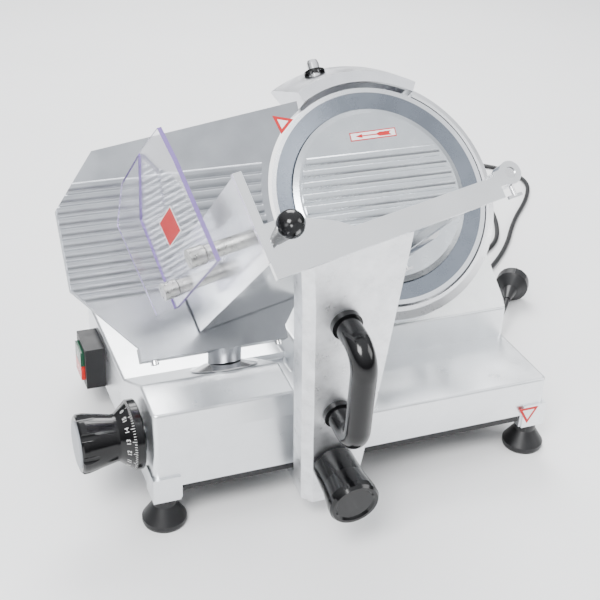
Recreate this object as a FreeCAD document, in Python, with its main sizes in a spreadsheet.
import FreeCAD, Part
import math
import os
import re
import Sketcher
from FreeCAD import Placement, Rotation, Vector

# Gravity-feed deli meat slicer with a 250 mm knife. Millimetres, +Z up, the
# operator stands on the -Y side, and the carriage travels along X.
# "Plane frame": u along X, v up the knife plane, w out of it to the operator.
# "Tray frame": the plane frame turned about w, so that f runs along the tray floor.

doc = FreeCAD.newDocument("MeatSlicer")
sheet = doc.addObject("Spreadsheet::Sheet", "Sizes")

SIZES = {
    # base casting
    "base_long": 440, "base_deep": 300, "base_foot": 33, "skirt": 48, "ledge": 92, "wall": 8,
    "leg": 28, "index_end": -75, "crease": 133, "crease_low": 108, "crease_in": 3,
    "ridge_y": -100, "ridge": 139, "flat": 100, "slope_end": -25,
    "deck_left": -40, "deck_front": -54, "deck": 129, "edge_round": 3,
    # knife plane
    "knife_x": 98, "knife_y": 11, "knife_z": 268, "tilt": 42, "blade_u": -19.5, "blade_v": -9, "knife_rad": 123.5, "bevel_rad": 100.2,
    "cover_rad": 99.4, "arc_rad": 127.5, "shaft_rad": 14, "bore_rad": 8,
    # tray frame
    "skew": 11, "tray_left": -264, "tray_floor": -73, "floor_thick": 5, "tray_right": -50,
    "tray_near": 4, "tray_far": 266, "fence_tall": 72, "rod_f": -36, "rod_g": -74, "rod_rad": 5,
    # gauge plate and its slide
    "plate_thick": 6, "dish_x": -124, "dish_y": -72, "dish_rad": 35, "post_rad": 17, "neck_rad": 8,
    "flute_pitch": 11.4, "flute_rad": 7, "flute_rise": 2,
    # index knob
    "index_y": -112, "index_z": 92, "dial_rad": 35, "grip_rad": 29.5, "grip_neck": 23.5, "index_long": 66,
    "scroll_rad": 29, "scroll_start": 10, "scroll_rise": 13, "index_turn": 300,
    # carriage
    "slide_y": -20, "slide_z": 62, "slide_rad": 10, "block_x": -53, "arm_y": -195, "arm_foot": 30,
    "arm_lean": 9.4, "arm_thick": 30, "knob_x": -56, "knob_z": 85, "neck_low": 28, "neck_high": 39.5,
    # drive
    "motor_u": 60, "motor_v": -96, "motor_rad": 40, "big_pulley": 45, "small_pulley": 14, "belt_thick": 4,
    "belt_near": -63, "belt_wide": 13, "gap": 0.3,
    # feet and the cord
    "foot_x": 208, "foot_y": 139, "foot_rad": 22.5, "foot_neck": 12, "cord_rad": 3.5,
    # origin: middle of the underside of the machine's box
    "origin_x": -28.75, "origin_y": -52.4,
}
for row, (alias, number) in enumerate(SIZES.items(), start=1):
    sheet.set("A%d" % row, alias)
    sheet.set("B%d" % row, str(number))
    sheet.setAlias("B%d" % row, alias)
doc.recompute()

WORD = re.compile(r"[a-z][a-z_]*")
X_AXIS = Vector(1, 0, 0)
ALONG_X = Rotation(Vector(0, 1, 0), 90)
ALONG_Y = Rotation(X_AXIS, -90)
TOWARDS_FRONT = Rotation(X_AXIS, 90)
TOWARDS_LEFT = Rotation(Vector(0, 1, 0), -90)
FULL_TURN = "360"
parts = []


def size(alias):
    return float(sheet.get(alias))


def bound(text):
    """A formula with every alias in it pointing at the sheet."""
    return WORD.sub(lambda word: "Sizes." + word[0] if word[0] in SIZES else word[0], str(text))


# ---- frames ----

SLOPE = math.degrees(math.atan2(size("ridge") - size("flat"), size("slope_end") - size("ridge_y")))
WORLD = Placement(Vector(-size("origin_x"), -size("origin_y"), 0), Rotation())
KNIFE = Vector(size("knife_x"), size("knife_y"), size("knife_z"))
PLANE = WORLD.multiply(Placement(KNIFE, Rotation(X_AXIS, 90 - size("tilt"))))
BLADE = PLANE.multiply(Placement(Vector(size("blade_u"), size("blade_v"), 0), Rotation()))
TRAY = PLANE.multiply(Placement(Vector(), Rotation(Vector(0, 0, 1), size("skew"))))
DISH_Z = size("ridge") - (size("dish_y") - size("ridge_y")) * math.tan(math.radians(SLOPE))
DISH_AT = Vector(size("dish_x"), size("dish_y"), DISH_Z)
SLIDE = WORLD.multiply(Placement(DISH_AT, Rotation(X_AXIS, -SLOPE)))
ARM = WORLD.multiply(Placement(Vector(0, size("arm_y"), size("arm_foot")),
                               Rotation(X_AXIS, size("arm_lean"))))


def in_frame(frame, point):
    """A world point, before the shift of the origin, in the frame's own coordinates."""
    return frame.inverse().multVec(WORLD.multVec(point))


def moved(frame, at, turn=None):
    """A frame shifted to a point of itself and turned there."""
    return frame.multiply(Placement(Vector(*at), turn or Rotation()))


# ---- primitives ----

def primitive(kind, name, sizes, at, turn):
    item = doc.addObject(kind, name)
    if turn:
        item.Placement = Placement(Vector(), turn)
    for prop, text in sizes.items():
        item.setExpression(prop, bound(text))
    for axis, text in zip("xyz", at):
        item.setExpression("Placement.Base." + axis, bound(text))
    return item


def box(name, low, high):
    """A box between two corners."""
    sides = ["(%s) - (%s)" % (top, bottom) for bottom, top in zip(low, high)]
    return primitive("Part::Box", name, dict(zip(("Length", "Width", "Height"), sides)), low, None)


def rod(name, radius, length, at=(0, 0, 0), turn=None):
    return primitive("Part::Cylinder", name, {"Radius": radius, "Height": length}, at, turn)


def taper(name, low_radius, high_radius, length, at=(0, 0, 0), turn=None):
    sizes = {"Radius1": low_radius, "Radius2": high_radius, "Height": length}
    return primitive("Part::Cone", name, sizes, at, turn)


def ball(name, radius, at):
    return primitive("Part::Sphere", name, {"Radius": radius}, at, None)


def join(name, *items):
    item = doc.addObject("Part::MultiFuse", name)
    item.Shapes = list(items)
    item.Refine = True
    return item


def cut(name, base, *tools):
    item = doc.addObject("Part::Cut", name)
    item.Base = base
    item.Tool = tools[0] if len(tools) == 1 else join(name + "_tools", *tools)
    return item


def common(name, *items):
    item = doc.addObject("Part::MultiCommon", name)
    item.Shapes = list(items)
    return item


def group(name, *items):
    item = doc.addObject("Part::Compound", name)
    item.Links = list(items)
    return item


def tube(name, outer, inner, length, at=(0, 0, 0), turn=None):
    return cut(name, rod(name + "_outer", outer, length, at, turn),
               rod(name + "_inner", inner, length, at, turn))


# ---- PartDesign helpers ----

class Piece:
    """A PartDesign body made of pads, pockets and turned outlines."""

    def __init__(self, name):
        self.name = name
        self.count = 0
        self.body = doc.addObject("PartDesign::Body", name)

    def plane(self, role):
        return [item for item in self.body.Origin.OriginFeatures if item.Role == role][0]

    def start_sketch(self, plane, lift):
        self.count += 1
        sketch = self.body.newObject("Sketcher::SketchObject", "%s_sketch_%d" % (self.name, self.count))
        sketch.AttachmentSupport = (self.plane(plane), [""])
        sketch.MapMode = "FlatFace"
        sketch.setExpression("AttachmentOffset.Base.z", bound(lift))
        return sketch

    def outline(self, plane, points, lift=0):
        sketch = self.start_sketch(plane, lift)
        total = len(points)
        rough = [Vector(100 * math.cos(2 * math.pi * i / total), 100 * math.sin(2 * math.pi * i / total), 0)
                 for i in range(total)]
        for i in range(total):
            sketch.addGeometry(Part.LineSegment(rough[i], rough[(i + 1) % total]))
        for i in range(total):
            sketch.addConstraint(Sketcher.Constraint("Coincident", i, 2, (i + 1) % total, 1))
        for i, (across, along) in enumerate(points):
            for kind, place, text in (("DistanceX", rough[i].x, across), ("DistanceY", rough[i].y, along)):
                index = sketch.addConstraint(Sketcher.Constraint(kind, i, 1, place))
                sketch.setExpression("Constraints[%d]" % index, bound(text))
        return sketch

    def circle(self, plane, radius, at=(0, 0), lift=0):
        sketch = self.start_sketch(plane, lift)
        sketch.addGeometry(Part.Circle(Vector(1, 1, 0), Vector(0, 0, 1), 5))
        for kind, text in (("DistanceX", at[0]), ("DistanceY", at[1])):
            index = sketch.addConstraint(Sketcher.Constraint(kind, 0, 3, 1.0))
            sketch.setExpression("Constraints[%d]" % index, bound(text))
        index = sketch.addConstraint(Sketcher.Constraint("Radius", 0, 5.0))
        sketch.setExpression("Constraints[%d]" % index, bound(radius))
        return sketch

    def feature(self, kind, sketch):
        feature = self.body.newObject("PartDesign::" + kind, "%s_%s_%d" % (self.name, kind, self.count))
        feature.Profile = sketch
        sketch.Visibility = False
        return feature

    def pad(self, sketch, length):
        feature = self.feature("Pad", sketch)
        feature.setExpression("Length", bound(length))
        return self

    def pocket(self, sketch, length):
        """Cut along the sketch's normal, and check that something was cut."""
        before = self.volume()
        feature = self.feature("Pocket", sketch)
        feature.Reversed = True
        feature.setExpression("Length", bound(length))
        if self.volume() > before - 1:
            raise ValueError("nothing cut: " + feature.Name)
        return self

    def revolve(self, sketch, angle=FULL_TURN):
        feature = self.feature("Revolution", sketch)
        feature.ReferenceAxis = (sketch, ["V_Axis"])
        feature.setExpression("Angle", bound(angle))
        return self

    def soften(self, radius, chosen, kind="Fillet"):
        """Round or bevel the chosen edges of the body as it stands."""
        doc.recompute()
        base = self.body.Tip
        edges = base.Shape.Edges
        wanted = [number for number, edge in enumerate(edges) if chosen(edge)]
        shape_of = base.Shape.makeFillet if kind == "Fillet" else base.Shape.makeChamfer
        width = plain_number(radius)
        kept = []
        for number in wanted:
            try:
                trial = shape_of(width, [edges[i] for i in kept + [number]])
            except Part.OCCError:
                continue
            if trial.isValid():
                kept.append(number)
        print(self.name, kind, "edges", len(kept), "of", len(wanted))
        feature = self.body.newObject("PartDesign::" + kind, "%s_%s_%d" % (self.name, kind, self.count))
        feature.Base = (base, ["Edge%d" % (number + 1) for number in kept])
        feature.setExpression("Radius" if kind == "Fillet" else "Size", bound(radius))
        doc.recompute()
        self.count += 1
        return self

    def volume(self):
        doc.recompute()
        return self.body.Tip.Shape.Volume


def plain_number(text):
    """The number a formula of sheet names comes to."""
    factors = str(text).split(" * ")
    return math.prod(size(word) if re.match("[a-z]", word) else float(word) for word in factors)


def rectangle(low_x, low_y, high_x, high_y):
    return [(low_x, low_y), (high_x, low_y), (high_x, high_y), (low_x, high_y)]


def solid_of(name, plane, points, length, lift=0):
    """A body that is one padded outline."""
    piece = Piece(name)
    piece.pad(piece.outline(plane, points, lift), length)
    return piece.body


def turned(name, points, angle=FULL_TURN):
    """A body turned about its own Z axis from (radius, height) points."""
    piece = Piece(name)
    piece.revolve(piece.outline("XZ_Plane", points), angle)
    return piece.body


def part(label, item, frame=WORLD):
    """Name a finished sub-part and put it in its frame."""
    if item.ExpressionEngine or item.TypeId == "PartDesign::Body" and item.getParentGeoFeatureGroup():
        item = group(label + "_piece", item)
    item.Label = label
    item.Placement = frame
    parts.append(item)
    return item


def ring_of_rods(name, count, circle, radius, length, level, turn=None):
    """Equal rods on a circle about Z."""
    rods = []
    for i in range(count):
        angle = "%g" % (360.0 * i / count)
        at = ("(%s) * cos(%s)" % (circle, angle), "(%s) * sin(%s)" % (circle, angle), level)
        rods.append(rod("%s_%d" % (name, i + 1), radius, length, at, turn))
    return rods


def on_plane(across, up):
    """Formulas for the (v, w) place of a world (y, z) point."""
    across = "((%s) - knife_y)" % across
    up = "((%s) - knife_z)" % up
    return ("%s * sin(tilt) + %s * cos(tilt)" % (across, up),
            "%s * sin(tilt) - %s * cos(tilt)" % (up, across))


# ---- base ----

def base_casting():
    base = Piece("base_casting")
    left = "-base_long / 2"
    right = "base_long / 2"
    front = "-base_deep / 2"
    back = "base_deep / 2"
    inner = "(base_long / 2 - wall)"
    inner_back = "(base_deep / 2 - wall)"
    base.pad(base.outline("XY_Plane", rectangle(left, front, right, back), "base_foot"), "ledge - base_foot")
    box_outline = [(front, "ledge - 1"), (front, "crease_low"), (front + " + crease_in", "crease"),
                   ("ridge_y", "ridge"), ("slope_end", "flat"), ("slope_end", "ledge - 1")]
    base.pad(base.outline("YZ_Plane", box_outline, left), "index_end + base_long / 2")
    base.pad(base.outline("XY_Plane", rectangle(left, "slope_end", "deck_left", back), "ledge - 1"),
             "flat - ledge + 1")
    base.pad(base.outline("XY_Plane", rectangle("deck_left", "deck_front", right, back), "ledge - 1"),
             "deck - ledge + 1")
    vertical = size("base_long") / 2 - 0.1
    base.soften("edge_round * 2", lambda edge: abs(edge.tangentAt(0).z) > 0.99 and edge.Length > 20
                and abs(edge.CenterOfMass.x) > vertical)
    low = size("crease_low") - 1
    base.soften("edge_round", lambda edge: edge.CenterOfMass.z > size("ledge") - 0.1
                and edge.CenterOfMass.z < size("ridge") + 1 and abs(edge.tangentAt(0).z) < 0.9
                and edge.Length > 12 and not (abs(edge.CenterOfMass.z - low) < 2))
    # the hollow inside, open below
    base.pocket(base.outline("XY_Plane", rectangle("-" + inner, "-" + inner_back, inner, inner_back),
                             "base_foot"), "ledge - wall - base_foot")
    hollow = [("-" + inner_back, "ledge - wall - 1"), ("-" + inner_back, "crease - wall"),
              ("ridge_y - 4", "ridge - wall"), ("slope_end - wall", "flat - 6"),
              ("slope_end - wall", "ledge - wall - 1")]
    base.pocket(base.outline("YZ_Plane", hollow, "-" + inner), "index_end - wall + " + inner)
    base.pocket(base.outline("XY_Plane", rectangle("deck_left + wall", "deck_front + wall", inner, inner_back),
                             "ledge - wall - 1"), "deck - ledge + 1")
    # opening under the tower
    base.pocket(base.outline("XY_Plane", rectangle(54, -30, 209.5, 130), "deck - wall - 1"), "wall + 2")
    # notches between the legs, front and back
    for side, near in (("front", front + " - 1"), ("back", "base_deep / 2 - wall - 1")):
        notch = rectangle("leg - base_long / 2", near, "base_long / 2 - leg", near + " + wall + 2")
        base.pocket(base.outline("XY_Plane", notch, "base_foot - 1"), "skirt - base_foot + 1")
    # legs with tapped holes for the feet
    for sign_x in (-1, 1):
        for sign_y in (-1, 1):
            middle = ("%d * foot_x" % sign_x, "%d * foot_y" % sign_y)
            corner = rectangle(middle[0] + " - leg / 2", middle[1] + " - leg / 2",
                               middle[0] + " + leg / 2", middle[1] + " + leg / 2")
            base.pad(base.outline("XY_Plane", corner, "base_foot"), "leg")
            base.pocket(base.circle("XY_Plane", 4.1, middle, "base_foot"), "leg - 8")
    # holes: index shaft in the left wall, cord gland in the back wall, gauge neck in the slope
    base.pocket(base.circle("YZ_Plane", 8.1, ("index_y", "index_z"), left + " - 1"), "wall + 2")
    base.pocket(base.circle("XZ_Plane", 8.1, (150, 70), "-base_deep / 2 - 1"), "wall + 2")
    slot = [("dish_y - 16", "flat"), ("dish_y - 16", "ridge"), ("dish_y + 22", "ridge"),
            ("dish_y + 22", "flat - 6")]
    base.pocket(base.outline("YZ_Plane", slot, "dish_x - neck_rad - 1"), "2 * neck_rad + 2")
    part("base_casting", base.body)


def bottom_pan():
    plate = box("pan_plate", ("-190", "-146", "skirt - 7"), ("190", "146", "skirt - 5"))
    wide = box("pan_wide", ("-211", "-119", "skirt - 7"), ("211", "119", "skirt - 5"))
    front_lip = box("pan_front_lip", ("-190", "-149.5", "skirt - 7"), ("190", "-146", "skirt - 0.2"))
    back_lip = box("pan_back_lip", ("-190", "146", "skirt - 7"), ("190", "149.5", "skirt - 0.2"))
    slot = box("pan_slot", ("-188", "slide_y - 14", "skirt - 9"), ("186", "slide_y + 14", "skirt"))
    part("bottom_pan", cut("pan", join("pan_sheet", plate, wide, front_lip, back_lip), slot))


def feet():
    for number, (sign_x, sign_y) in enumerate(((-1, -1), (1, -1), (-1, 1), (1, 1)), start=1):
        name = "foot_%d" % number
        sole = ("foot_rad - 1", 0)
        outline = [(0, 0), sole, ("foot_rad", 3), ("foot_rad", 7), ("foot_neck", 23),
                   ("foot_neck", "base_foot"), (4, "base_foot"), (4, "base_foot + leg - 12"),
                   (0, "base_foot + leg - 12")]
        at = (sign_x * size("foot_x"), sign_y * size("foot_y"), 0)
        part(name, turned(name, outline), moved(WORLD, at))


# ---- tower, motor and knife drive ----

def blade_tower():
    tower = Piece("blade_tower")
    foot_front = on_plane("deck_front + 2", "deck")
    foot_back = on_plane(145, "deck")
    outline = [foot_front, (70, foot_front[1]), (70, -104), (48, -128), (-45, -128), on_plane(145, 143), foot_back]
    left = "-78"
    tower.pad(tower.outline("YZ_Plane", outline, left), "198")
    tower.pocket(tower.outline("XY_Plane", [(121, -142), (130, -142), (130, 80), (95, 80)], "-210"), "180")
    tower.soften("edge_round * 3", lambda edge: abs(edge.tangentAt(0).x) < 0.1 and edge.Length > 30
                 and edge.CenterOfMass.y > size("knife_rad") * -1.2 and abs(edge.CenterOfMass.x - 28) > 60
                 and abs(edge.tangentAt(0).y * math.tan(math.radians(size("tilt")))
                         + edge.tangentAt(0).z) > 0.02)
    inner_front = foot_front[1] + " - 7"
    low_front = on_plane("deck_front + 12", "deck - 1")
    low_back = on_plane(137, "deck - 1")
    hollow = [low_front, (low_front[0], inner_front), (63, inner_front), (63, -101), (45, -121), (-58, -121),
              on_plane(137, 136), low_back]
    tower.pocket(tower.outline("YZ_Plane", hollow, left + " + 7"), "159")
    # bearing boss on the front wall, web for the back bearing
    spot = ("blade_u", "blade_v")
    tower.pad(tower.circle("XY_Plane", 30, spot, "-60"), "10")
    tower.pad(tower.outline("XY_Plane", rectangle(-56, -60, 20, 64), "-104"), "12")
    tower.pocket(tower.circle("XY_Plane", 21.05, spot, "-61"), "12")
    tower.pocket(tower.circle("XY_Plane", 21.05, spot, "-105"), "12")
    tower.pocket(tower.circle("XY_Plane", "shaft_rad + 1", spot, "-120"), "100")
    tower.pocket(tower.circle("XY_Plane", 6.2, spot, "-200"), "80")
    part("blade_tower", tower.body, PLANE)


def guard_ring():
    inner = "knife_rad + 2.5"
    outer = "knife_rad + 15"
    outline = [("knife_rad - 20", -24), (outer, -24), (outer, -9), ("knife_rad + 6.5", -6),
               ("knife_rad + 6", -2), (inner, -2), (inner, -20), ("knife_rad - 20", -20)]
    start = -96
    arc = turned("guard_ring_arc", outline, "155")
    arc_piece = group("guard_ring_turned", arc)
    arc_piece.Placement = Placement(Vector(), Rotation(Vector(0, 0, 1), start))
    lugs = []
    for i, angle in enumerate((-40, -66), start=1):
        at = ("(knife_rad - 12) * cos(%d)" % angle, "(knife_rad - 12) * sin(%d)" % angle, -46)
        lugs.append(rod("guard_lug_%d" % i, 8, 24, at))
    part("blade_guard_ring", join("guard_ring", arc_piece, *lugs), BLADE)


def blade_cover():
    plate = Piece("cover_plate")
    outline = [(0, -20), (7.4, -20), (7.4, -4.5), ("cover_rad", -4.5), ("cover_rad", -2.5),
               ("cover_rad - 6", 0), (0, 0)]
    plate.revolve(plate.outline("XZ_Plane", outline))
    disc = rod("cover_limit", "cover_rad - 9", 12, (0, 0, -4))
    ridges = []
    for i in range(7):
        at = ("-cover_rad", "44 - %d * (flute_pitch + 1.6)" % i, "flute_rise - flute_rad - 1")
        ridges.append(rod("cover_ridge_%d" % (i + 1), "flute_rad + 1", "2 * cover_rad", at, ALONG_X))
    part("blade_cover", join("cover", plate.body, common("cover_ridges", join("ridges", *ridges), disc)), BLADE)


def blade_set():
    edge = "knife_rad"
    outline = [(20, -10), (20, -7), (97, -7), ("bevel_rad", -4.6), (edge, 0), (edge, -0.6),
               ("knife_rad - 8", -4.2), ("bevel_rad", -9), (90, -10)]
    part("blade", turned("blade", outline), BLADE)
    hub = [("bore_rad", -108), ("bore_rad", -8), (19.95, -8), (19.95, -10.05), (42, -10.05), (42, -17),
           ("shaft_rad + 4", -19), ("shaft_rad + 4", -45), ("shaft_rad", -45), ("shaft_rad", -108)]
    part("blade_hub", turned("blade_hub", hub), BLADE)
    high = "belt_near + 1"
    low = "belt_near - belt_wide - 1"
    pulley = [("shaft_rad", low), ("big_pulley + 3", low), ("big_pulley + 3", low + " + 1"),
              ("big_pulley", low + " + 1"), ("big_pulley", high + " - 1"), ("big_pulley + 3", high + " - 1"),
              ("big_pulley + 3", high), ("shaft_rad", high)]
    part("blade_pulley", turned("blade_pulley", pulley), BLADE)
    part("blade_screws", group("blade_screw_set", *ring_of_rods("blade_screw", 4, 32, 4, 2.4, -7)), BLADE)


def bearings():
    for number, low in ((1, -60), (2, -104)):
        name = "shaft_bearing_%d" % number
        part(name, tube(name, 21, "shaft_rad + 0.05", 11, (0, 0, low)), BLADE)


def cover_tie():
    part("cover_tie_rod", group("tie_rod_piece", rod("tie_stem", 5, 126, (0, 0, -146))), BLADE)
    knob = turned("tie_knob_solid", [(0, -151), (13, -151), (15, -148), (15, -136), (11, -130), (0, -130)])
    part("cover_tie_knob", cut("tie_knob", knob, rod("tie_knob_bore", 5.05, 20, (0, 0, -146))), BLADE)


def motor():
    at = ("motor_u", "motor_v", -164)
    shell = rod("motor_shell", "motor_rad", 80, at)
    plate = box("motor_plate", (22, "motor_v - 30", -92), (107, -40, -86))
    ribs = []
    for i in range(12):
        angle = "%d" % (30 * i)
        ribs.append(rod("motor_rib_%d" % i, 2.5, 74, ("motor_u + motor_rad * cos(%s)" % angle,
                                                      "motor_v + motor_rad * sin(%s)" % angle, -162)))
    hollow = rod("motor_hollow", 26, 68, ("motor_u", "motor_v", -158))
    bore = rod("motor_bore", 6.3, 120, ("motor_u", "motor_v", -185))
    part("motor_housing", cut("motor_case", join("motor_body", shell, plate, *ribs), hollow, bore), BLADE)
    core = rod("rotor_core", 25.4, 58, ("motor_u", "motor_v", -153))
    shaft = rod("rotor_shaft_rod", 6, 112, ("motor_u", "motor_v", -172))
    high = "belt_near + 1"
    low = "belt_near - belt_wide - 1"
    outline = [(6, low), ("small_pulley + 3", low), ("small_pulley + 3", low + " + 1"),
               ("small_pulley", low + " + 1"), ("small_pulley", high + " - 1"),
               ("small_pulley + 3", high + " - 1"), ("small_pulley + 3", high), (6, high)]
    at = (size("motor_u"), size("motor_v"), 0)
    part("motor_pulley", turned("motor_pulley", outline), moved(BLADE, at))
    disc = rod("fan_disc", 28, 1.5, ("motor_u", "motor_v", -168))
    vanes = [disc]
    for i in range(4):
        vane = box("fan_vane_%d" % i, (-28, -0.8, -172), (28, 0.8, -167))
        piece = group("fan_vane_turned_%d" % i, vane)
        piece.Placement = Placement(Vector(at[0], at[1], 0), Rotation(Vector(0, 0, 1), 45 * i))
        vanes.append(piece)
    part("motor_rotor", join("rotor", core, shaft, *vanes), BLADE)


def drive_belt():
    """An open belt: the outline around both pulleys, less the same outline a belt's thickness in."""
    far = Vector(size("motor_u"), size("motor_v"), 0)
    span = far.Length
    heading = math.atan2(far.y, far.x)

    def outline(extra):
        big = size("big_pulley") + extra
        small = size("small_pulley") + extra
        lean = math.acos((big - small) / span)
        spots = []
        for centre, radius in ((Vector(), big), (far, small)):
            for side in (1, -1):
                angle = heading + side * lean
                spots.append(centre + Vector(radius * math.cos(angle), radius * math.sin(angle), 0))
        back = Vector(-big * math.cos(heading), -big * math.sin(heading), 0)
        nose = far + Vector(small * math.cos(heading), small * math.sin(heading), 0)
        edges = [Part.Arc(spots[0], back, spots[1]).toShape(), Part.makeLine(spots[1], spots[3]),
                 Part.Arc(spots[3], nose, spots[2]).toShape(), Part.makeLine(spots[2], spots[0])]
        return Part.Face(Part.Wire(edges))

    loop = outline(size("gap") + size("belt_thick")).cut(outline(size("gap")))
    belt = doc.addObject("Part::Feature", "drive_belt")
    belt.Shape = loop.extrude(Vector(0, 0, -size("belt_wide") + 1))
    part("drive_belt", belt, moved(BLADE, (0, 0, size("belt_near") - 0.5)))


def electrics():
    can = rod("capacitor_can", 17, 60, (20, 118, "skirt + 22"), ALONG_X)
    strap = box("capacitor_strap", (40, 98, "skirt + 2"), (60, 142, "skirt + 41"))
    part("run_capacitor", join("capacitor", can, strap))
    gland = [(0, -14), (10, -14), (10, -8.1), (8, -8.1), (8, 0.1), (11, 0.1), (11, 5), (9, 7), (5, 32), (0, 32)]
    body = turned("cord_gland", gland)
    part("cord_gland", body, moved(WORLD, (150, size("base_deep") / 2, 70), ALONG_Y))


# ---- switch ----

def switch():
    left = "-base_long / 2"
    frame = cut("switch_shell", box("switch_block", (left + " - 22", 60, 38), (left, 106, 88)),
                box("switch_well", (left + " - 23", 68, 45), (left + " - 4", 98, 81)))
    part("switch_housing", frame)
    for name, low, high in (("stop_button", 45.4, 62.6), ("start_button", 63.4, 80.6)):
        part(name, group(name + "_piece", box(name + "_cap", (left + " - 26", 68.4, low),
                                               (left + " - 8", 97.6, high))))


# ---- index knob and gauge plate ----

def index_knob():
    neck = "grip_neck"
    outline = [(6, 2), (20, 2), (20, 6), ("dial_rad - 1", 6), ("dial_rad", 7), ("dial_rad", 14),
               (neck, 28), (neck, 31), ("grip_rad", "index_long - 7"), ("grip_rad", "index_long - 2"),
               ("grip_rad - 2", "index_long"), (6, "index_long")]
    flutes = ring_of_rods("grip_flute", 8, "grip_rad + 3.2", 5.5, 60, 31)
    knob = cut("index_grip", turned("index_solid", outline), *flutes)
    at = (-size("base_long") / 2, size("index_y"), size("index_z"))
    frame = moved(WORLD, at, TOWARDS_LEFT)
    part("index_knob", knob, frame)
    shaft = rod("index_stem", 6, 140, (0, 0, -74))
    collar = rod("index_collar", 8, 10, (0, 0, -8.5))
    part("index_shaft", join("index_axle", shaft, collar), frame)
    cap = turned("index_cap", [(0, "index_long"), ("grip_rad - 6", "index_long"),
                               ("grip_rad - 7", "index_long + 1.5"), (0, "index_long + 2")])
    part("index_cap", cap, frame)


def scroll_disc():
    """Face disc whose spiral groove drives the gauge pin outwards as the knob turns."""
    steps = 24
    turn = size("index_turn")
    start = size("scroll_start")
    rise = size("scroll_rise") / turn
    groove_half = 3.1
    downhill = -SLOPE
    disc = Part.makeCylinder(size("scroll_rad"), 7, Vector(), X_AXIS)
    disc = disc.cut(Part.makeCylinder(6, 7, Vector(), X_AXIS))
    inner = []
    outer = []
    for i in range(-2, steps + 3):
        angle = turn * i / steps
        radius = start + rise * angle
        bearing = math.radians(downhill + angle)
        away = Vector(0, math.cos(bearing), math.sin(bearing))
        inner.append(away * (radius - groove_half))
        outer.append(away * (radius + groove_half))
    sides = []
    for row in (inner, outer):
        side = Part.BSplineCurve()
        side.interpolate(row)
        sides.append(side.toShape())
    ends = [Part.makeLine(inner[0], outer[0]), Part.makeLine(inner[-1], outer[-1])]
    face = Part.Face(Part.Wire(Part.__sortEdges__(sides + ends)))
    groove = face.extrude(Vector(5, 0, 0))
    piece = doc.addObject("Part::Feature", "scroll_disc")
    piece.Shape = disc.cut(groove.translated(Vector(2.5, 0, 0)))
    at = (size("dish_x") - 28, size("index_y"), size("index_z"))
    part("scroll_disc", piece, moved(WORLD, at))


def gauge():
    outline = [(-322, 73), (-368, 15), (-368, -67), (-313, -133), (-158, -133), (-120, -84), (-92, 60),
               (-92, 106)]
    sheet_piece = Piece("gauge_sheet")
    sheet_piece.pad(sheet_piece.outline("XY_Plane", outline, "-plate_thick"), "plate_thick")
    blank = cut("gauge_blank", sheet_piece.body, rod("gauge_arc", "arc_rad", 40, ("blade_u", "blade_v", -20)))
    ridges = []
    for i in range(11):
        at = ("-400", "37 - %d * flute_pitch" % i, "flute_rise - flute_rad")
        ridges.append(rod("gauge_ridge_%d" % (i + 1), "flute_rad", 400, at, ALONG_X))
    field = Piece("gauge_field")
    field.pad(field.outline("XY_Plane", [(-340, 50), (-367, 16), (-367, -66), (-352, -84), (-150, -84),
                                         (-150, -40), (-154, 0), (-146, 45)], "-plate_thick + 1"), "12")
    clear = rod("gauge_clear", "arc_rad + 8", 40, ("blade_u", "blade_v", -20))
    rows = cut("gauge_rows", common("gauge_ridges", join("ridge_set", *ridges), field.body), clear)
    part("gauge_plate", join("gauge_face", blank, rows), PLANE)
    # bar under the plate, with the post that stands on the dish
    bar = box("gauge_bar", (-312, -147.5, -15), (-159, -133, 0))
    foot = in_frame(PLANE, DISH_AT)
    upright = Rotation(X_AXIS, size("tilt") - 90)
    post = group("gauge_post_turned", rod("gauge_post", "post_rad", 60))
    post.Placement = Placement(foot, upright)
    trim = box("gauge_trim", (-400, -133.05, -6.4), (0, 0, 60))
    top_trim = box("gauge_top_trim", (-400, -118, -60), (0, 0, 60))
    rear_trim = group("gauge_front_trim", box("gauge_front_trim_box", (-400, -200, 0), (0, -100, 60)))
    dish_clear = group("gauge_dish_clear", rod("gauge_dish_clear_rod", 60, 60))
    dish_clear.Placement = PLANE.inverse().multiply(SLIDE).multiply(Placement(Vector(0, 0, -53), Rotation()))
    column = cut("gauge_column", post, trim, top_trim, rear_trim, dish_clear)
    part("gauge_support", join("gauge_carrier", bar, column), PLANE)
    screws = []
    for i, across in enumerate((-298, -168), start=1):
        screws.append(rod("gauge_screw_%d" % i, 4, 4.5, (across, -152, -7), Rotation(X_AXIS, -90)))
    part("gauge_screws", group("gauge_screw_set", *screws), PLANE)
    # dish and slide, in the frame of the slope
    dish = [(0, 0.4), ("dish_rad - 1", 0.4), ("dish_rad", 1.2), ("dish_rad", 2), ("post_rad + 1", 7), (0, 7)]
    part("gauge_dish", turned("gauge_dish", dish), SLIDE)
    neck = rod("slide_neck", "neck_rad", 19.1, (0, 0, -18.7))
    block = cut("slide_block_bored", box("slide_box", (-20, -18, -36), (20, 18, -17)),
                box("slide_bore", (-7.3, -40, -33.3), (7.3, 40, -18.7)))
    axle = in_frame(SLIDE, Vector(size("dish_x"), size("index_y"), size("index_z")))
    pin_y = axle.y + size("scroll_start")
    tongue = box("slide_tongue", (-20, pin_y - 6, axle.z - 5), (-8, pin_y + 6, -30))
    pin = rod("slide_pin", 2.7, 6, (-25, pin_y, axle.z), ALONG_X)
    part("gauge_slide", join("gauge_carriage", neck, block, tongue, pin), SLIDE)
    bar = box("gauge_rail_bar", (-7, -28, -33), (7, 46, -19))
    front_hanger = box("gauge_rail_front", (-7, -28, -33), (7, -23, -9.1))
    back_hanger = box("gauge_rail_back", (-7, 40, -33), (7, 46, -9.1))
    part("gauge_rail", join("gauge_guide", bar, front_hanger, back_hanger), SLIDE)


# ---- carriage ----

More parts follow.
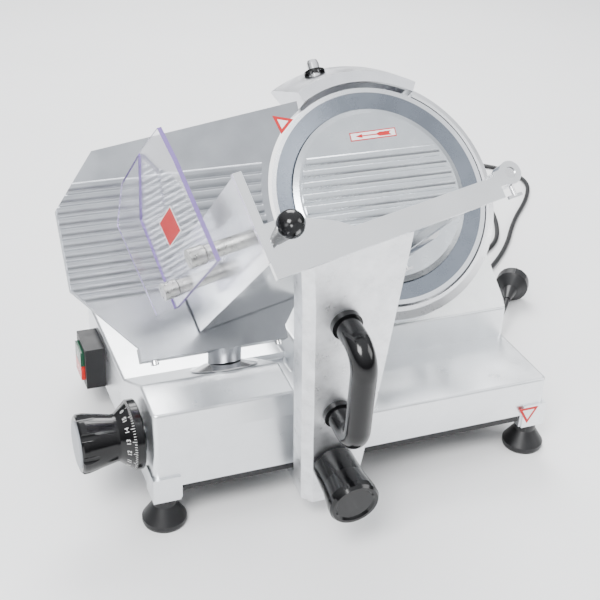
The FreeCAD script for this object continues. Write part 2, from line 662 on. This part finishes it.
def carriage_guides():
    inner = "(base_long / 2 - wall)"
    part("carriage_rod", rod("slide_bar", "slide_rad", "base_long - 2 * wall",
                             ("-" + inner, "slide_y", "slide_z"), ALONG_X))
    part("guide_rail", box("guide_bar", ("-" + inner, "slide_y + 22", "slide_z - 16"),
                           (inner, "slide_y + 30", "slide_z - 8")))


def carriage_block():
    low_x = "block_x - 34"
    high_x = "block_x + 34"
    block = box("block_body", (low_x, "slide_y - 17", "slide_z - 16"), (high_x, "slide_y + 17", "slide_z + 16"))
    neck = box("block_neck", ("block_x - 22", "slide_y - 10", "neck_low"),
               ("block_x + 22", "slide_y + 10", "slide_z - 10"))
    bar = box("block_bar", ("block_x - 22", "arm_y + arm_thick - 2", "neck_low"),
              ("block_x + 22", "slide_y + 10", "neck_high"))
    bore = rod("block_bore", 14, 70, ("block_x - 35", "slide_y", "slide_z"), ALONG_X)
    axle = rod("roller_axle", 2, 13.5, ("block_x", "slide_y + 16", "slide_z - 2.7"), ALONG_Y)
    part("slide_block", join("slide_carrier", cut("slide_shell", join("slide_solid", block, neck, bar), bore), axle))
    bushes = [tube("slide_bush_%d" % i, 14, "slide_rad + 0.05", 20, (at, "slide_y", "slide_z"), ALONG_X)
              for i, at in enumerate(("block_x - 34", "block_x + 14"), start=1)]
    part("slide_bushes", group("bush_pair", *bushes))
    frame = moved(WORLD, (size("block_x"), size("slide_y") + 22.5, size("slide_z") - 2.7), ALONG_Y)
    part("guide_roller", tube("guide_roller", 5, 2.1, 6.5, (0, 0, 0)), frame)


def carriage_arm():
    top = 345
    arm = Piece("arm_column")
    outline = [(-80, 0), (-26, 0), (-19, 150), (-14, top), (-118, top), (-105, 250)]
    arm.pad(arm.outline("XZ_Plane", outline, "-arm_thick"), "arm_thick")
    arm.soften("edge_round * 3", lambda edge: abs(edge.tangentAt(0).z) > 0.9
               and edge.CenterOfMass.y < 1 and edge.CenterOfMass.x < -60, "Chamfer")
    to_arm = ARM.inverse().multiply(TRAY)
    trim = group("arm_trim", box("arm_trim_box", (-400, "tray_floor - floor_thick", -100), (100, 100, 500)))
    trim.Placement = to_arm
    foot_trim = group("arm_foot_trim", box("arm_foot_box", (-200, -100, -60), (100, 100, 0)))
    foot_trim.Placement = ARM.inverse().multiply(WORLD).multiply(Placement(Vector(0, 0, size("arm_foot") + 0.0),
                                                                           Rotation()))
    socket = group("arm_socket", box("arm_socket_box", ("block_x - 22", "arm_y + arm_thick - 2", 20),
                                      ("block_x + 22", "arm_y + 90", "neck_high")))
    socket.Placement = ARM.inverse().multiply(WORLD)
    part("carriage_arm", cut("arm", arm.body, trim, foot_trim, socket), ARM)


def grip_handle():
    """Solid round U bar with its two feet on the arm."""
    radius = 12.0
    reach = 46.0
    top = Vector(-66, 0, 231)
    bottom = Vector(-60, 0, 122)
    bend = 22.0
    out = Vector(0, -1, 0)
    along = (bottom - top).normalize()
    half = math.sqrt(0.5)
    points = [top, top + out * (reach - bend), top + out * reach + along * bend,
              bottom + out * reach - along * bend, bottom + out * (reach - bend), bottom]
    bend_top = top + out * (reach - bend) + along * bend
    bend_low = bottom + out * (reach - bend) - along * bend
    edges = [Part.makeLine(points[0], points[1]),
             Part.Arc(points[1], bend_top + (out - along) * bend * half, points[2]).toShape(),
             Part.makeLine(points[2], points[3]),
             Part.Arc(points[3], bend_low + (out + along) * bend * half, points[4]).toShape(),
             Part.makeLine(points[4], points[5])]
    path = Part.Wire(edges)
    section = Part.Wire(Part.makeCircle(radius, top, out))
    bar = path.makePipeShell([section], True, False)
    feet_rings = [Part.makeCylinder(radius + 2.5, 6, spot, out) for spot in (top, bottom)]
    piece = doc.addObject("Part::Feature", "grip_handle")
    piece.Shape = bar.multiFuse(feet_rings)
    part("grip_handle", piece, ARM)


def carriage_knob():
    outline = [(0, 0.3), (14, 0.3), (21, 3), (22, 30), (25, 50), (25, 56), (23, 59), (20, 59), (18, 57), (0, 57)]
    spot = Vector(size("knob_x"), size("arm_y"), size("knob_z"))
    local = in_frame(ARM, spot)
    part("carriage_knob", turned("carriage_knob", outline),
         moved(ARM, (local.x, 0, local.z), TOWARDS_FRONT))


def food_tray():
    near = "tray_near"
    far = "tray_far"
    under = "tray_floor - floor_thick"
    floor = box("tray_floor_plate", ("tray_left", under, near), ("tray_right", "tray_floor", far))
    fence = box("tray_fence", ("tray_left - 5", under, near), ("tray_left", "tray_floor + fence_tall", far))
    rim = box("tray_rim", ("tray_left - 7", "tray_floor - 20", "tray_far - 5"), ("tray_right", under, far))
    fence_rim = box("fence_rim", ("tray_left - 8", under, "tray_far - 4"),
                    ("tray_left", "tray_floor + fence_tall", far))
    right_rim = box("tray_right_rim", ("tray_right - 5", "tray_floor - floor_thick - 4", near),
                    ("tray_right", under, far))
    bosses = []
    for i, (low, long) in enumerate(((6, 16), ("tray_far - 16", 16)), start=1):
        bosses.append(rod("rod_boss_%d" % i, "rod_rad + 5.5", long, ("rod_f", "rod_g", low)))
        bosses.append(box("rod_web_%d" % i, ("tray_right - 2", "rod_g - 9", low),
                          ("rod_f", "rod_g + 5", "%s + %s" % (low, long))))
    bore = rod("rod_bore", "rod_rad + 0.05", 300, ("rod_f", "rod_g", 0))
    tray = cut("tray", join("tray_solid", floor, fence, rim, fence_rim, right_rim, *bosses), bore)
    part("food_tray", tray, TRAY)
    part("pusher_rod", rod("pusher_bar", "rod_rad", "tray_far - 9", ("rod_f", "rod_g", 8)), TRAY)
    screws = []
    down = Rotation(X_AXIS, 90)
    for i, level in enumerate((14, "tray_far - 8"), start=1):
        stem = rod("wing_stem_%d" % i, 2, 9, ("rod_f", "rod_g - rod_rad - 5.5", level), down)
        wing = box("wing_head_%d" % i, ("rod_f - 7", "rod_g - rod_rad - 16", "%s - 1.2" % level),
                   ("rod_f + 7", "rod_g - rod_rad - 13", "%s + 1.2" % level))
        screws.append(join("wing_screw_%d" % i, stem, wing))
    part("wing_screws", group("wing_screw_pair", *screws), TRAY)


def hand_guard():
    thick = 4
    gap = 22
    left = "tray_left - 5 - %d" % gap
    panel = Piece("guard_panel")
    outline = [(-54, 44), (-54, 215), (38, 211), (72, 204), (79, 128), (40, 50)]
    panel.pad(panel.outline("YZ_Plane", outline, "%s - %d" % (left, thick)), str(thick))
    flange = Piece("guard_flange")
    fold = [(-54, 44), (40, 50), (79, 128), (75, 130), (37, 54), (-54, 48)]
    flange.pad(flange.outline("YZ_Plane", fold, "%s - 28" % left), "26")
    reach = Piece("guard_reach")
    limit = [("%s + 1" % left, -60), ("%s - 24" % left, -55), ("%s - 28" % left, 40), ("%s - 22" % left, 64),
             ("%s + 1" % left, 82)]
    reach.pad(reach.outline("XY_Plane", limit, 40), "100")
    part("hand_guard", join("guard", panel.body, common("guard_fold", flange.body, reach.body)), TRAY)
    stands = []
    for i, level in enumerate((190, 75), start=1):
        at = ("tray_left - 5", -40, level)
        stands.append(rod("stand_spacer_%d" % i, 7, gap, at, TOWARDS_LEFT))
        stands.append(rod("stand_head_%d" % i, 8.5, 14, ("tray_left - 5 - %d" % (gap + thick), -40, level),
                          TOWARDS_LEFT))
    part("guard_standoffs", group("stand_pair", *stands), TRAY)


# ---- pusher ----

def pusher():
    face = 36
    sleeve = [("rod_rad + 0.05", 22.4), (9.5, 22.4), (9.5, 39.5), (7, 39.5), (7, 66.5), (9.5, 66.5), (9.5, 96),
              ("rod_rad + 0.05", 96)]
    rod_axis = Vector(size("rod_f"), size("rod_g"), 0)
    part("pusher_sleeve", turned("sleeve", sleeve), moved(TRAY, rod_axis))
    collar = tube("pusher_collar", "rod_rad + 4.6", "rod_rad + 2.05", 26, ("rod_f", "rod_g", face + 4))
    link = box("pusher_link", ("tray_right - 10", "rod_g + rod_rad + 2.4", face + 4),
               ("rod_f + 3", "rod_g + rod_rad + 8", 66))
    plate = Piece("pusher_face")
    outline = [(-240, -70), (-240, -22), (-224, -6), (-165, -3), (-131, -11), (-100, -25), (-66, -50), (-60, -70)]
    plate.pad(plate.outline("XY_Plane", outline, face), "6")
    shelf = box("pusher_shelf", (-150, -70, face + 5), ("tray_right - 8", "tray_floor + 8", 66))
    spikes = [taper("pusher_spike_%d" % i, 0.4, 2.5, 8, (-215 + 32 * i, -46, face - 8)) for i in range(5)]
    part("pusher_plate", join("pusher_body", plate.body, shelf, collar, link, *spikes), TRAY)
    stem = rod("pusher_stem", 5, 24, (-178, -25, face + 6))
    grip = taper("pusher_grip_cone", 7, 12, 44, (-178, -25, face + 28))
    knob = ball("pusher_ball", 14.5, (-178, -25, face + 74))
    part("pusher_knob", join("pusher_grip", stem, grip, knob), TRAY)


# ---- sharpener ----

def sharpener():
    stem = box("sharp_stem", (-34, 79, -62), (34, 126, -46))
    foot = box("sharp_foot", (-34, 79, -84), (34, 86, -46))
    posts = [rod("sharp_post_%d" % i, 4, 34, (across, 125, -54), Rotation(X_AXIS, -90))
             for i, across in enumerate((-22, 22), start=1)]
    part("sharpener_bracket", join("sharp_bracket", stem, foot, *posts), BLADE)

    def sector(name, points, low, span, top):
        arc = group(name + "_turned", turned(name, points, "%g" % span))
        arc.Placement = Placement(Vector(), Rotation(Vector(0, 0, 1), low))
        return common(name + "_cropped", arc, box(name + "_crop", (-120, 50, -60), (120, top, 20)))

    near = "knife_rad + 6"
    shell = sector("hood_shell", [(near, 4), ("knife_rad + 18.5", 4), ("knife_rad + 43", -38),
                                  ("knife_rad + 43", -44), (near, -44)], 60, 60, 168)
    hollow = sector("hood_hollow", [(near + " - 9", 0.5), ("knife_rad + 13", 0.5), ("knife_rad + 36", -37),
                                    ("knife_rad + 36", -40), (near + " - 9", -40)], 63.5, 53, 163)
    carrier = box("stone_carrier", (-52, 104, -44), (34, 134, -40))
    saddle = box("hood_saddle", (-34, 127, -64), (34, 164, -43.5))
    holes = [rod("hood_post_hole_%d" % i, 4.3, 36, (across, 126, -54), Rotation(X_AXIS, -90))
             for i, across in enumerate((-22, 22), start=1)]
    pins = [rod("stone_pin_%d" % i, 2.45, 30, (across, 112, -41.5)) for i, across in enumerate((-40, 24), start=1)]
    button_bore = rod("button_bore", 7.3, 45, (-36, 128, -20), Rotation(X_AXIS, -90))
    hood = cut("hood", join("hood_solid", cut("hood_cup", shell, hollow), saddle, carrier, *pins), button_bore,
               *holes)
    part("sharpener_housing", hood, BLADE)
    button = turned("sharpener_button", [(0, 140), (6.9, 140), (6.9, 164), (5.5, 168), (0, 168)])
    part("sharpener_button", button, moved(BLADE, (-36, 0, -20), Rotation(X_AXIS, -90)))
    for name, across, low in (("grinding_stone", -40, -28), ("deburring_stone", 24, -28)):
        part(name, tube(name, 8.5, 2.5, 12, (across, 112, low)), BLADE)


# ---- cord: loops lying on the table behind and beside the machine ----

def rounded_wire(points):
    """Straight runs joined by tangent arcs as large as the runs allow."""
    edges = []
    radii = []
    last = points[0]
    for before, here, after in zip(points, points[1:], points[2:]):
        inward = (before - here).normalize()
        onward = (after - here).normalize()
        turn = math.pi - inward.getAngle(onward)
        shorter = min((before - here).Length, (after - here).Length)
        radius = 0.45 * shorter / math.tan(turn / 2)
        reach = 0.45 * shorter
        first = here + inward * reach
        second = here + onward * reach
        bisector = (inward + onward).normalize()
        middle = here + bisector * (math.hypot(radius, reach) - radius)
        edges.append(Part.LineSegment(last, first).toShape())
        edges.append(Part.Arc(first, middle, second).toShape())
        radii.append(radius)
        last = second
    edges.append(Part.LineSegment(last, points[-1]).toShape())
    print("arc radii", " ".join("%.0f" % radius for radius in radii))
    return Part.Wire(edges)


def power_cord():
    """The supply cord, lying on the table behind and beside the machine, with its plug."""
    lie = size("cord_rad") + 0.1
    route = [(150, 182, 70), (150, 214, 70), (160, 252, 34), (196, 282, lie), (252, 288, lie), (318, 268, lie),
             (384, 280, lie), (436, 316, lie), (468, 370, lie), (490, 430, lie), (486, 486, lie),
             (472, 544, lie), (490, 592, lie), (544, 606, lie), (590, 572, lie), (608, 510, lie),
             (568, 446, lie), (500, 376, lie), (440, 294, lie), (370, 230, lie), (322, 190, lie),
             (276, 168, lie), (240, 140, lie), (238, 104, lie), (262, 74, lie), (300, 76, 16), (342, 128, 20.15)]
    points = [Vector(*point) for point in route]
    wire = rounded_wire(points)
    start = Part.Wire(Part.makeCircle(size("cord_rad"), points[0], points[1] - points[0]))
    cord = doc.addObject("Part::Feature", "power_cord")
    cord.Shape = wire.makePipeShell([start], True, False)
    print("cord length %.0f, volume ratio %.3f" % (
        wire.Length, cord.Shape.Volume / (wire.Length * math.pi * size("cord_rad") ** 2)))
    part("power_cord", cord)
    heading = (points[-2] - points[-1]).normalize()
    spot = points[-1]
    frame = moved(WORLD, spot, Rotation(Vector(0, 0, 1), heading))
    body = [(0, 0), (4.5, 0), (9, -24), (15, -30), (22, -36), (22, -50), (20, -52), (0, -52)]
    ribs = ring_of_rods("plug_rib", 8, 20.4, 2, 14, -50)
    part("power_plug", join("plug_shell", turned("plug_body", body), *ribs), frame)
    pins = [rod("plug_pin_%d" % i, 2.4, 19, (across, 0, -71.05)) for i, across in enumerate((-9.5, 9.5), start=1)]
    part("plug_pins", group("plug_pin_pair", *pins), frame)


for build in (base_casting, bottom_pan, feet, blade_tower, guard_ring, blade_cover, blade_set,
              bearings, cover_tie, motor, drive_belt, electrics, switch, index_knob, scroll_disc, gauge,
              carriage_guides, carriage_block, carriage_arm, grip_handle, carriage_knob, food_tray,
              hand_guard, pusher, sharpener, power_cord):
    build()

doc.recompute()
failed = [item.Name for item in doc.Objects if "Invalid" in item.State or "Error" in item.State]
for item in parts:
    if item.Shape.isNull() or not item.Shape.isValid():
        failed.append(item.Label)
if failed:
    raise ValueError("failed: " + ", ".join(failed))
os.makedirs("parts", exist_ok=True)
for item in parts:
    item.Shape.exportStep("parts/%s.step" % item.Label)
print("written", len(parts), "sub-parts")
